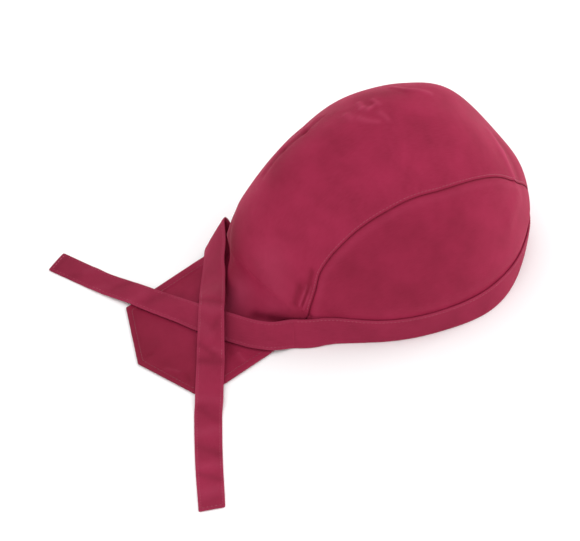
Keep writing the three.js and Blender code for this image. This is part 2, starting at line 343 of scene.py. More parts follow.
@dataclass(frozen=True)
class TailShape:
    """Lays out the neck that sweeps down from the nape and the flat pointed tail."""

    cap: CapShape
    heading: float = 201.0
    root_right: Pair = (-109.0, -56.6)
    root_left: Pair = (-113.0, 46.6)
    corner_right: Pair = (-162.2, -77.1)
    point: Pair = (-189.5, -29.9)
    corner_left: Pair = (-176.1, 22.6)
    root_bulge: float = 18.0  # how far the root's middle lies behind its ends
    drop_edge: float = 13.0  # first reach of the neck's sweep, down from the nape
    drop_middle: float = 26.0
    run_edge: float = 13.0  # last reach of the sweep, out along the table
    run_middle: float = 16.0
    waist: float = 15.0  # how far the sweep's middle draws in under the nape
    face: float = 1.1  # height of the tail's upper face above the table
    lead: float = 2.0  # degrees above the nape that give the neck its first direction

    def _over_table(self, place: Pair) -> Numbers:
        """Point of the tail's upper face over a place on the table."""
        return np.array([*place, self.face])

    def root(self, across: Numbers) -> Numbers:
        """Point of the line where the neck reaches the table."""
        right, left = self._over_table(self.root_right), self._over_table(self.root_left)
        bulge = direction(self.heading, 0.0) * self.root_bulge
        return mix(right, left, (across + 1) / 2) + bulge * (1 - across**2)[..., None]

    def end(self, across: Numbers) -> Numbers:
        """Point of the tail's pointed end."""
        right, left = self._over_table(self.corner_right), self._over_table(self.corner_left)
        corner = np.where((across < 0)[..., None], right, left)
        return mix(self._over_table(self.point), corner, np.abs(across))

    def neck(self, across: Numbers, along: Numbers) -> Numbers:
        """Point of the neck: one sweep for each place across, from the nape down to the table."""
        nape = self.cap.nape_station
        start, above = (
            self.cap.crown_at(station, across * self.cap.arch_spread(np.full_like(across, station)))
            for station in (nape, nape + self.lead)
        )
        middle = 1 - across**2
        drop = self.drop_edge + (self.drop_middle - self.drop_edge) * middle
        run = self.run_edge + (self.run_middle - self.run_edge) * middle
        down = start + unit(start - above) * drop[..., None]
        down[..., 0] += self.waist * middle
        end = self.root(across)
        flat = end - direction(self.heading, 0.0) * run[..., None]
        t, s = along[..., None], 1 - along[..., None]
        return s**3 * start + 3 * s * s * t * down + 3 * s * t * t * flat + t**3 * end

    def tail(self, across: Numbers, along: Numbers) -> Numbers:
        """Point of the tail, from its root on the table to its pointed end."""
        return mix(self.root(across), self.end(across), along)


# ---------------------------------------------------------------- meshes
def to_frame(points: Numbers) -> Numbers:
    """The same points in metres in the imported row's frame."""
    return (points + CAP_ORIGIN) * MM


def cap_origin(shape: CapShape) -> Numbers:
    """Where the cap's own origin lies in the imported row's frame, in millimetres."""
    low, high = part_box("headband")
    front = shape.pole_x + float(shape.meridians.at("reach", np.array(0.0)))
    return np.array([high.x / MM - front, (low.y + high.y) / 2 / MM, 0.0])


SHAPE = CapShape()
CAP_ORIGIN = cap_origin(SHAPE)


def mesh_of(name: str, shape: bmesh.types.BMesh) -> bpy.types.Mesh:
    """A new mesh made of a bmesh, which is freed."""
    mesh = bpy.data.meshes.new(name)
    shape.to_mesh(mesh)
    shape.free()
    return mesh


def placed(name: str, data: bpy.types.ID) -> Piece:
    """A new object in the scene that shows a mesh, a light or a camera."""
    added = bpy.data.objects.new(name, data)
    bpy.context.scene.collection.objects.link(added)
    return added


def normals_of(surface: Surface, u: Numbers, v: Numbers) -> Numbers:
    """Unit normals of a surface, on the side from which u runs right and v runs up."""
    step = 1e-3
    lengthwise = surface(np.minimum(u + step, 1), v) - surface(np.maximum(u - step, 0), v)
    crosswise = surface(u, np.minimum(v + step, 1)) - surface(u, np.maximum(v - step, 0))
    return unit(np.cross(lengthwise, crosswise))


def raised(surface: Surface, height: Surface) -> Surface:
    """A surface moved along its normals.

    Args:
        surface: Gives a point for each u and v from 0 to 1.
        height: Gives how far each point moves outwards, in millimetres.

    Returns:
        The moved surface.
    """
    return lambda u, v: surface(u, v) + normals_of(surface, u, v) * height(u, v)[..., None]


@dataclass
class Cloth:
    """One sheet of cloth: a grid carried onto a surface, with thread directions, wear and painted light,
    and shade.
    """

    name: str
    surface: Surface
    along: int  # faces along the sheet and across it
    across: int
    thickness: float
    offset: float = -1.0  # -1 thickens the sheet inwards, and 0 both ways
    smoothing: int = 0  # times that the mesh is subdivided
    # paler cloth from wear and painted light, and darker cloth from seams, tones and painted shade
    wear_and_light: Surface | None = None
    shade: Surface | None = None

    def build(self) -> Piece:
        """Makes the mesh object, with its cloth coordinates in millimetres as a UV map."""
        sheet = bmesh.new()
        bmesh.ops.create_grid(sheet, x_segments=self.along, y_segments=self.across, size=0.5)
        place = np.array([vert.co[:2] for vert in sheet.verts]) + 0.5
        points = self.surface(place[:, 0], place[:, 1])
        order = np.lexsort((place[:, 0], place[:, 1]))
        cloth = np.empty((len(place), 2))
        cloth[order] = self._cloth_places(points[order]).reshape(-1, 2)
        layer = sheet.loops.layers.uv.new(CLOTH_UV)
        for vert, point in zip(sheet.verts, to_frame(points)):
            vert.co = point
        sheet.verts.index_update()
        for face in sheet.faces:
            face.smooth = True
            for loop in face.loops:
                loop[layer].uv = cloth[loop.vert.index]
        mesh = mesh_of(self.name, sheet)
        # lighter cloth from wear and painted light, and darker cloth from seams, tones and painted shade
        for label, values in (("wear_and_light", self.wear_and_light), ("shade", self.shade)):
            attribute = mesh.attributes.new(label, "FLOAT", "POINT")
            if values is not None:
                attribute.data.foreach_set("value", values(place[:, 0], place[:, 1]).astype(np.float32))
        log.info("%s: %.0f square millimetres of cloth", self.name, self.area())
        return self._finished(mesh)

    def _cloth_places(self, points: Numbers) -> Numbers:
        """Where each point lies on the flat cloth: across and along its threads, in millimetres."""
        grid = points.reshape(self.across + 1, self.along + 1, 3)
        rows = np.linalg.norm(np.diff(grid, axis=0), axis=-1)
        across = np.concatenate([np.zeros((1, self.along + 1)), np.cumsum(rows, axis=0)])
        across = across - across[self.across // 2]
        middle = np.linalg.norm(np.diff(grid[self.across // 2], axis=0), axis=-1)
        along = np.concatenate([[0.0], np.cumsum(middle)])
        return np.stack([across, np.broadcast_to(along, across.shape)], -1)

    def _finished(self, mesh: bpy.types.Mesh) -> Piece:
        """The object with its wall thickness and rounded edges."""
        piece = placed(self.name, mesh)
        wall = piece.modifiers.new("wall", "SOLIDIFY")
        wall.thickness = self.thickness * MM
        wall.offset = self.offset
        wall.use_quality_normals = True
        if self.smoothing:
            round_off = piece.modifiers.new("soft edges", "SUBSURF")
            round_off.levels = self.smoothing
            round_off.render_levels = self.smoothing
        return piece

    def area(self) -> float:
        """Area of the sheet, in square millimetres, measured on its grid."""
        u, v = np.meshgrid(np.linspace(0, 1, self.along + 1), np.linspace(0, 1, self.across + 1))
        grid = self.surface(u.ravel(), v.ravel()).reshape(self.across + 1, self.along + 1, 3)
        first = np.cross(grid[1:, :-1] - grid[:-1, :-1], grid[:-1, 1:] - grid[:-1, :-1])
        second = np.cross(grid[1:, :-1] - grid[1:, 1:], grid[:-1, 1:] - grid[1:, 1:])
        return float((np.linalg.norm(first, axis=-1) + np.linalg.norm(second, axis=-1)).sum() / 2)


@dataclass(frozen=True)
class Stitching:
    """A row of machine stitches, each a short plump length of thread sunk into the cloth."""

    pitch: float = 2.6  # from one stitch to the next
    length: float = 2.0
    width: float = 0.42
    sides: int = 6  # faces round a stitch and along it
    rings: int = 4

    def sew(self, name: str, lines: list[Row]) -> Piece:
        """Makes one mesh of stitches along several lines.

        Args:
            name: Name of the new piece.
            lines: For each line its points and the cloth's outward normals there, in millimetres.

        Returns:
            The new object.
        """
        thread = bmesh.new()
        for points, outward in lines:
            run = np.concatenate([[0], np.cumsum(np.linalg.norm(np.diff(points, axis=0), axis=1))])
            count = max(1, int(run[-1] / self.pitch))
            middles = (np.arange(count) + 0.5) * run[-1] / count
            for here in middles:
                ends = [
                    np.array([np.interp(here + half, run, points[:, k]) for k in range(3)])
                    for half in (-self.length / 2, self.length / 2)
                ]
                up = np.array([np.interp(here, run, outward[:, k]) for k in range(3)])
                self._stitch(thread, ends[0], ends[1], up)
        for face in thread.faces:
            face.smooth = True
        return placed(name, mesh_of(name, thread))

    def _stitch(self, thread: bmesh.types.BMesh, start: Numbers, end: Numbers, up: Numbers) -> None:
        """Adds one stitch from start to end, half sunk in the cloth whose outward side is up."""
        forward = Vector(unit(end - start))
        sideways = Vector(up).cross(forward).normalized()
        upward = forward.cross(sideways)
        turn = Matrix((sideways, upward, forward)).transposed().to_4x4()
        size = Matrix.Diagonal((self.width / 2, self.width / 2, np.linalg.norm(end - start) / 2, 1.0))
        middle = to_frame((start + end) / 2)
        bmesh.ops.create_uvsphere(
            thread,
            u_segments=self.sides,
            v_segments=self.rings,
            radius=1.0,
            matrix=Matrix.Translation(Vector(middle)) @ Matrix.Scale(MM, 4) @ turn @ size,
        )


def line_on(surface: Surface, u: Numbers, v: Numbers) -> Row:
    """Points of a line on a surface, and the surface's outward normals along it."""
    u, v = np.broadcast_arrays(np.asarray(u, float), np.asarray(v, float))
    return surface(u, v), normals_of(surface, u, v)


# ---------------------------------------------------------------- finishes
def linear(colour: str) -> tuple[float, float, float, float]:
    """Linear RGBA of an sRGB hex colour such as 9c2e47."""
    parts = [int(colour[i : i + 2], 16) / 255 for i in (0, 2, 4)]
    r, g, b = [c / 12.92 if c <= 0.04045 else ((c + 0.055) / 1.055) ** 2.4 for c in parts]
    return r, g, b, 1.0


def node(
    tree: Tree,
    kind: str,
    settings: dict[str, object] | None = None,
    links: dict[str, Socket] | None = None,
) -> bpy.types.Node:
    """Adds a shader node.

    Args:
        tree: The node tree that gets it.
        kind: The node's type, such as ShaderNodeMix.
        settings: Properties by name, or input values by the input's name.
        links: Output sockets by the name or number of the input that each feeds.

    Returns:
        The new node.
    """
    added = tree.nodes.new(kind)
    for name, value in (settings or {}).items():
        if hasattr(added, name):
            setattr(added, name, value)
        else:
            added.inputs[int(name) if name.isdigit() else name].default_value = value
    for name, socket in (links or {}).items():
        tree.links.new(socket, added.inputs[int(name) if name.isdigit() else name])
    return added


def blank_material(name: str) -> Material:
    """A new material without any nodes."""
    material = bpy.data.materials.new(name)
    material.use_nodes = True
    material.node_tree.nodes.clear()
    return material


def coat(
    material: Material,
    height: Socket,
    relief: Pair,
    settings: dict[str, object],
    links: dict[str, Socket] | None = None,
) -> Material:
    """Ends a material's nodes with a fine relief, one principled shader and the output.

    Args:
        material: The material that gets them.
        height: Height of the relief, from 0 to 1.
        relief: Strength of the relief, and its depth in millimetres.
        settings: Input values of the shader by name.
        links: Other sockets that feed the shader, by the input's name.

    Returns:
        The same material.
    """
    tree = material.node_tree
    depth = {"Strength": relief[0], "Distance": relief[1] * MM}
    normal = node(tree, "ShaderNodeBump", depth, {"Height": height}).outputs["Normal"]
    shader = node(tree, "ShaderNodeBsdfPrincipled", settings, {**(links or {}), "Normal": normal})
    node(tree, "ShaderNodeOutputMaterial", links={"Surface": shader.outputs["BSDF"]})
    return material


@dataclass(frozen=True)
class Twill:
    """Polyester and cotton twill, piece dyed and pressed: matt, with a soft satin sheen."""

    name: str
    colour: str
    deep: str  # colour of dye clouds, seams and deeper tones, and of painted shade in furrows, between the ribs and beside the ties
    worn_and_lit: str  # colour of slubs and rubbed edges, and of painted highlight on ridges and painted light on the nape
    sheen_tint: str = "e03868"
    roughness: float = 0.62
    sheen: float = 0.3
    sheen_roughness: float = 0.45
    rib: float = 0.62  # millimetres from one diagonal rib to the next
    rib_angle: float = 63.0  # degrees of the ribs to the warp
    thread: float = 0.36  # millimetres from one thread to the next
    relief: Pair = (0.55, 0.07)  # strength of the weave, and height of the ribs in millimetres
    warp_share: float = 0.35  # height of the warp threads beside that of the ribs
    cloud_share: float = 0.5  # most of the deep colour in the dye's uneven uptake
    slub_share: float = 0.16  # most of the worn colour in the slubs
    painted_rib_shade: float = 0.22  # most of the deep colour painted as shade between the ribs
    noise: Pair = (0.3, 0.7)  # range in which most of a noise texture lies

    def build(self) -> Material:
        """Makes the material, on the cloth's own coordinates in millimetres."""
        material = blank_material(self.name)
        tree = material.node_tree
        cloth = node(tree, "ShaderNodeUVMap", {"uv_map": CLOTH_UV}).outputs["UV"]
        height = self._weave(tree, cloth)
        looks = {
            "Roughness": self.roughness,
            "IOR": 1.46,
            "Specular IOR Level": 0.09,
            "Sheen Weight": self.sheen,
            "Sheen Roughness": self.sheen_roughness,
            "Sheen Tint": linear(self.sheen_tint),
        }
        colour = {"Base Color": self._colour(tree, cloth, height)}
        return coat(material, height, self.relief, looks, colour)

    def _weave(self, tree: Tree, cloth: Socket) -> Socket:
        """Height of the weave: diagonal ribs, crossed by the fine warp threads."""
        turn = {"Rotation": (0.0, 0.0, math.radians(self.rib_angle))}
        turned = node(tree, "ShaderNodeMapping", turn, {"Vector": cloth}).outputs["Vector"]
        waves = []
        for vector, spacing in ((turned, self.rib), (cloth, self.thread)):
            bands = {
                "wave_type": "BANDS",
                "bands_direction": "X",
                "wave_profile": "SIN",
                "Scale": WAVE_SCALE / spacing,
                "Distortion": 0.6,
                "Detail": 1.0,
                "Detail Scale": 0.8,
            }
            waves.append(node(tree, "ShaderNodeTexWave", bands, {"Vector": vector}).outputs["Fac"])
        share = {"operation": "MULTIPLY", "1": self.warp_share}
        warp = node(tree, "ShaderNodeMath", share, {"0": waves[1]}).outputs["Value"]
        both = node(tree, "ShaderNodeMath", {"operation": "ADD"}, {"0": waves[0], "1": warp})
        return both.outputs["Value"]

    def _colour(self, tree: Tree, cloth: Socket, height: Socket) -> Socket:
        """Colour: uneven dye uptake, slubs, painted shade between the ribs, wear with painted light, and
        dark seams and tones with painted shade.
        """
        clouds = {"Scale": 0.035, "Detail": 3.0, "Roughness": 0.55}
        cloudy = node(tree, "ShaderNodeTexNoise", clouds, {"Vector": cloth}).outputs["Fac"]
        long = node(tree, "ShaderNodeMapping", {"Scale": (2.4, 0.16, 1.0)}, {"Vector": cloth})
        threads, places = {"Scale": 1.0, "Detail": 2.0, "Roughness": 0.5}, {"Vector": long.outputs[0]}
        slub = node(tree, "ShaderNodeTexNoise", threads, places).outputs["Fac"]
        wear_and_light, shade = (
            node(tree, "ShaderNodeAttribute", {"attribute_name": name}).outputs["Fac"]
            for name in ("wear_and_light", "shade")
        )
        layers = (
            (self._stretched(tree, cloudy, self.noise, (0.0, self.cloud_share)), self.deep),
            (self._stretched(tree, slub, self.noise, (0.0, self.slub_share)), self.worn_and_lit),
            # painted shade between the ribs
            (self._stretched(tree, height, (0.0, 1.0), (self.painted_rib_shade, 0.0)), self.deep),
            # wear, and painted light on ridges and on the nape
            (wear_and_light, self.worn_and_lit),
            # dark seams and deeper tones, and painted shade in furrows, beside the tie, on the far rim
            # and above the band
            (shade, self.deep),
        )
        colour = node(tree, "ShaderNodeRGB").outputs["Color"]
        colour.default_value = linear(self.colour)
        for share, over in layers:
            settings = {"data_type": "RGBA", "7": linear(over)}
            colour = node(tree, "ShaderNodeMix", settings, {"0": share, "6": colour}).outputs[2]
        return colour

    @staticmethod
    def _stretched(tree: Tree, value: Socket, given: Pair, wanted: Pair) -> Socket:
        """A value that runs between the wanted ends while the one given runs between its own."""
        ends = dict(zip(("From Min", "From Max", "To Min", "To Max"), (*given, *wanted)))
        return node(tree, "ShaderNodeMapRange", ends, {"Value": value}).outputs["Result"]


@dataclass(frozen=True)
class SewingThread:
    """Spun polyester sewing thread, dyed to match: a little shinier and paler than the cloth."""

    name: str = "sewing thread"
    colour: str = "98304a"
    roughness: float = 0.5
    ply: float = 0.5  # millimetres from one turn of the ply to the next
    relief: Pair = (0.4, 0.05)

    def build(self) -> Material:
        """Makes the material, with the ply drawn as fine bands."""
        material = blank_material(self.name)
        tree = material.node_tree
        place = node(tree, "ShaderNodeTexCoord").outputs["Object"]
        turns = {"bands_direction": "DIAGONAL", "Scale": WAVE_SCALE / (self.ply * MM)}
        bands = node(tree, "ShaderNodeTexWave", turns, {"Vector": place}).outputs["Fac"]
        looks = {"Base Color": linear(self.colour), "Roughness": self.roughness, "Sheen Weight": 0.2}
        return coat(material, bands, self.relief, looks)


@dataclass(frozen=True)
class PaintedTable:
    """White lacquered board: plain, matt and very pale."""

    name: str = "white table"
    colour: str = "fbfbfb"
    roughness: float = 0.6
    relief: Pair = (0.1, 0.02)

    def build(self) -> Material:
        """Makes the material, with a faint unevenness in the lacquer."""
        material = blank_material(self.name)
        tree = material.node_tree
        place = node(tree, "ShaderNodeTexCoord").outputs["Object"]
        grain = node(tree, "ShaderNodeTexNoise", {"Scale": 900.0, "Detail": 2.0}, {"Vector": place})
        looks = {
            "Base Color": linear(self.colour),
            "Roughness": self.roughness,
            "Specular IOR Level": 0.2,
        }
        return coat(material, grain.outputs["Fac"], self.relief, looks)


@dataclass
class Wardrobe:
    """The finishes, each made once and shared by the pieces that wear it."""

    panel: Twill = Twill("twill of the panels", colour="982444", deep="6c1026", worn_and_lit="aa3c5a")
    strap: Twill = Twill("twill of the straps", colour="922442", deep="681428", worn_and_lit="a43c58")
    thread: SewingThread = SewingThread()
    hem_thread: SewingThread = SewingThread("sewing thread of the hem", colour="7a1e36")
    made: dict[str, Material] = field(default_factory=dict)

    def dress(self, piece: Piece, finish: Twill | SewingThread) -> None:
        """Gives a piece its material and the body that it rides on."""
        if finish.name not in self.made:
            self.made[finish.name] = finish.build()
        piece.data.materials.append(self.made[finish.name])
        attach(piece, BODY)

    def sew(self, name: str, lines: list[Row], finish: SewingThread, slot: str) -> Piece:
        """Makes rows of stitching along some lines, and dresses them."""
        sewn = Stitching().sew(name, lines)
        self.dress(sewn, finish)
        return sewn


# ---------------------------------------------------------------- the panels
@dataclass
class MiddlePanel:
    """The long centre panel: crown, neck and pointed tail, lapped over the side panels.

    Its folds, pleats, painted shades and lights lie on the flat cloth, in millimetres from its end
    behind the band and from its middle line to the wearer's left. Folds and pleats have a height in
    millimetres; the painted shades and lights are painted shade and painted light, a share of the deep or
    the worn colour.
    """

    shape: CapShape = SHAPE
    tail: TailShape = field(default_factory=lambda: TailShape(SHAPE))
    cloth: float = 0.65  # thickness
    along: int = 380
    across: int = 104
    flat_size: Pair = (0.136, 0.475)
    flat_area: float = 0.0488
    tuck: float = 8.0  # lengths of the parts, from behind the band to the tail's end
    crown_run: float = 338.0
    neck_run: float = 53.0
    tail_run: float = 78.0
    half_width: float = 69.0  # widest, over the top, by which places across are counted
    tail_half_width: float = 52.0
    evenness: float = 0.45  # 1 spaces the faces across evenly, and less sets them closer at the edges
    change_from: float = 30.0  # past the nape, where the seam's finish fades into the hem's
    change_run: float = 30.0
    seam_ridge: EdgeLine = EdgeLine(2.4, 1.6, 0.07)
    seam_roll: EdgeLine = EdgeLine(0.0, 0.9, -0.2)
    seam_stitches: EdgeLine = EdgeLine(1.8, 0.45, -0.22)
    seam_wear: EdgeLine = EdgeLine(1.6, 1.4, 0.08)
    seam_tone: EdgeLine = EdgeLine(0.0, 0.6, 0.6)
    seam_clear: float = 2.0  # from the seam's ends to its first and last stitch
    hem: float = 6.5  # width of the tail's hem
    hem_rise: float = 0.45
    hem_past: float = 0.5  # how far inside the hem it starts to rise, and over which width it does
    hem_step: float = 1.2
    hem_stitches: EdgeLine = EdgeLine(5.1, 0.5, -0.2)
    hem_wear: EdgeLine = EdgeLine(0.0, 1.6, 0.3)
    hem_from: float = 44.0  # past the nape, where the hem's stitches start
    stitch_points: tuple[int, int, int] = (300, 120, 161)  # along a seam, a hem's side, its end
    search_points: int = 4001  # places tried across, to find a distance from the edge
    painted_fold_shading: float = 0.6  # painted highlight on ridges and painted shade in furrows, for a millimetre of the crown's folds and pleats
    painted_tail_ridge_light: float = 0.4  # painted highlight on the ridges, for a millimetre of the tail's folds
    # painted shade in the furrows, for a millimetre of the tail's folds
    painted_tail_furrow_shade: float = 0.8
    tail_tone: float = 0.62  # deeper tone at the tail's end, and the power by which it grows
    tail_fade: float = 1.6
    # painted shade beside the left tie, on the crown's far rim, and above the band near the right seam's
    # foot
    painted_shades: tuple[Fold, ...] = (
        Fold((334, 15), (344, 11), 14, 0.5),
        Fold((344, 11), (360, 19), 20, 0.75),
        Fold((238, 21.8), (272, 10.1), 13, 0.45),
        Fold((176, 15.3), (208, 31.5), 10, 0.45),
        Fold((352, -65.3), (366, -42.5), 5, 0.45),
        Fold((315, -62), (328, -62.5), 3, 0.6),
    )
    # painted light on the parts of the nape that catch the light
    lights: tuple[Fold, ...] = (
        Fold((326, -30), (354, -41), 14, 0.3),
        Fold((368, -4), (378, 2), 14, 0.6),
    )
    pleats: tuple[Fold, ...] = (
        Fold((327, -60.6), (345, -60), 1.1, 0.8),
        Fold((331, -62.7), (344, -62.3), 1, -0.7),
        Fold((325, -64.4), (346, -64), 1, 0.7),
        Fold((331, -55.5), (346, -56), 2.8, -0.8),
    )
    folds: tuple[Fold, ...] = (
        Fold((345, -9.8), (353, -15.2), 7, -1.6),
        Fold((335, -28.8), (350, -48), 8, 2.4),
        Fold((351, 24), (364, 21.3), 6.5, 1),
        Fold((330, 22.4), (347, 14.2), 6, -2.2),
        Fold((370, 67.3), (382, 63.4), 7, 5.4),
        Fold((375, -29.1), (364, -66.2), 4, -4),
        Fold((461, 1.5), (466, 3), 2.6, -0.3),
        Fold((463, -31), (467, -22), 2.4, 0.7),
        Fold((460, -38), (465, -45), 3, -0.3),
        Fold((412, -59), (407, -48), 2.6, 0.6),
        Fold((405, -36), (412, -44), 3.2, -0.3),
    )

    @property
    def neck_from(self) -> float:
        """Length of cloth before the neck, in millimetres."""
        return self.tuck + self.crown_run

    @property
    def tail_from(self) -> float:
        """Length of cloth before the tail, in millimetres."""
        return self.neck_from + self.neck_run

    @property
    def run(self) -> float:
        """Length of the panel from its tuck behind the band to the tail's end."""
        return self.tail_from + self.tail_run

    def _part(self, u: Numbers, start: float, length: float) -> Numbers:
        """Share of a stretch of the panel that is behind each place along it."""
        return np.clip((u * self.run - start) / length, 0.0, 1.0)

    def _station(self, u: Numbers) -> Numbers:
        """Station on the crown of each place along the panel."""
        brow, nape = self.shape.brow_station, self.shape.nape_station
        return brow + (nape - brow) * self._part(u, self.tuck, self.crown_run)

    def _spaced(self, v: Numbers) -> Numbers:
        """Place across, from -1 at the right edge to 1 at the left, closer set near the edges."""
        w = 1 - 2 * v
        return self.evenness * w + (1 - self.evenness) * np.sin(w * math.pi / 2)

    def base(self, u: Numbers, v: Numbers) -> Numbers:
        """Point of the panel's outer face before its seams and hems are pressed in."""
        place, across, station = u * self.run, self._spaced(v), self._station(u)
        spread = across * self.shape.arch_spread(station)
        bearing = np.degrees(np.arctan2(spread, station))
        below = np.maximum(self.tuck - place, 0)
        hidden = self.shape.behind_band(bearing, below, self.shape.band_cloth)
        crown = self.shape.crown_at(station, spread)
        neck = self.tail.neck(across, self._part(u, self.neck_from, self.neck_run))
        tail = self.tail.tail(across, self._part(u, self.tail_from, self.tail_run))
        point = np.where((place < self.tuck)[..., None], hidden, crown)
        point = np.where((place > self.neck_from)[..., None], neck, point)
        return np.where((place > self.tail_from)[..., None], tail, point)

    def _edge(self, u: Numbers, v: Numbers) -> Numbers:
        """Distance to the nearer long edge, in millimetres."""
        half = self.shape.degree * self.shape.arch_spread(self._station(u))
        past_neck = u * self.run > self.neck_from + self.neck_run / 2
        return (1 - np.abs(self._spaced(v))) * np.where(past_neck, self.tail_half_width, half)

    def _inward(self, u: Numbers, v: Numbers) -> Numbers:
        """Distance to the nearer long edge or to the tail's end, in millimetres."""
        return np.minimum(self._edge(u, v), (1 - u) * self.run)

    def _on_tail(self, u: Numbers) -> Numbers:
        """1 on the tail and 0 on the crown, with a smooth change over the neck."""
        return ease((u * self.run - self.neck_from - self.change_from) / self.change_run)

    def _laid(self, folds: tuple[Fold, ...], u: Numbers, v: Numbers) -> Numbers:
        """Height or strength of some rows of the panel's folds together at each place on it."""
        return folded(folds, u * self.run, self._spaced(v) * self.half_width)

    def _creased(self, u: Numbers, v: Numbers) -> Numbers:
        """Height of the crown's own folds and of the pleats at each place on the panel."""
        station = self._station(u)
        spread = self._spaced(v) * self.shape.arch_spread(station)
        return folded(self.shape.folds, station, spread) + self._laid(self.pleats, u, v)

    def relief(self, u: Numbers, v: Numbers) -> Numbers:
        """How far seams, hems, folds and pleats stand out from the panel, in millimetres."""
        edge, inward, tail = self._edge(u, v), self._inward(u, v), self._on_tail(u)
        seam = self.seam_ridge.at(edge) + self.seam_roll.at(edge) + self.seam_stitches.at(edge)
        hem = self.hem_rise * ease((self.hem + self.hem_past - inward) / self.hem_step)
        hem = hem + self.hem_stitches.at(inward)
        return seam * (1 - tail) + hem * tail + self._laid((*self.folds, *self.pleats), u, v)

    def wear_and_light(self, u: Numbers, v: Numbers) -> Numbers:
        """Rubbed seams and hem, painted highlight on the ridges, and painted light on the parts of the
        nape that catch the light.
        """
        tail = self._on_tail(u)
        crown = self.seam_wear.at(self._edge(u, v))
        # painted highlight on the ridges of the crown's folds and pleats
        crown = crown + self.painted_fold_shading * np.maximum(self._creased(u, v), 0)
        rubbed = self.hem_wear.at(self._inward(u, v))
        # painted highlight on the tail's ridges, added to the rubbed hem
        rubbed = rubbed + self.painted_tail_ridge_light * np.maximum(self._laid(self.folds, u, v), 0)
        # painted light on the nape
        return crown * (1 - tail) + rubbed * tail + self._laid(self.lights, u, v)

    def shade(self, u: Numbers, v: Numbers) -> Numbers:
        """Deeper seams, painted shade in the furrows, beside the tie, on the far rim and above the band,
        and a tail that darkens towards its end.
        """
        tail = self._on_tail(u)
        crown = self.seam_tone.at(self._edge(u, v))
        # painted shade in the furrows of the crown's folds and pleats
        crown = crown + self.painted_fold_shading * np.maximum(-self._creased(u, v), 0)
        beyond = self._part(u, self.neck_from, self.neck_run + self.tail_run)
        tone = self.tail_tone * beyond**self.tail_fade
        # painted shade in the tail's furrows
        tone = tone + self.painted_tail_furrow_shade * np.maximum(-self._laid(self.folds, u, v), 0)
        # painted shade beside the tie, on the far rim and above the band
        return crown * (1 - tail) + tone * tail + self._laid(self.painted_shades, u, v)

    def build(self, wardrobe: Wardrobe) -> Piece:
        surface = raised(self.base, self.relief)
        piece = Cloth(
            "middle_panel_cloth",
            surface,
            self.along,
            self.across,
            self.cloth,
            wear_and_light=self.wear_and_light,
            shade=self.shade,
        ).build()
        wardrobe.dress(piece, wardrobe.panel)
        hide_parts("middle_panel")
        rows = (
            ("middle_panel_stitching", self._seam_lines(surface), wardrobe.thread),
            ("tail_hem_stitching", self._hem_lines(surface), wardrobe.hem_thread),
        )
        seams, hem = (wardrobe.sew(*row, "panel_cloth") for row in rows)
        return piece

    def _side_lines(
        self, surface: Surface, start: float, stop: float, inward: float, points: int
    ) -> list[Row]:
        """Two rows of stitches beside the long edges, between two lengths of cloth."""
        u = np.linspace(start / self.run, stop / self.run, points)
        inset = self._places_across(u, inward)
        return [line_on(surface, u, v) for v in (inset, 1 - inset)]

    def _seam_lines(self, surface: Surface) -> list[Row]:
        """Rows of stitches beside both arch seams."""
        start, stop = self.tuck + self.seam_clear, self.neck_from - self.seam_clear
        return self._side_lines(surface, start, stop, self.seam_stitches.inset, self.stitch_points[0])

    def _hem_lines(self, surface: Surface) -> list[Row]:
        """Rows of stitches round the tail's hem: both sides and the end."""
        inward = self.hem_stitches.inset
        start, stop = self.neck_from + self.hem_from, self.run - inward
        lines = self._side_lines(surface, start, stop, inward, self.stitch_points[1])
        last = np.array([stop / self.run])
        inset = self._places_across(last, inward)[0]
        v = np.linspace(inset, 1 - inset, self.stitch_points[2])
        return [*lines, line_on(surface, np.full_like(v, last[0]), v)]

    def _places_across(self, u: Numbers, inward: float) -> Numbers:
        """Place across at each u that lies so far inside the right edge."""
        grid_v = np.linspace(0, 0.5, self.search_points)
        found = []
        for place in u:
            distance = self._edge(np.full_like(grid_v, place), grid_v)
            found.append(np.interp(inward, distance, grid_v))
        return np.array(found)


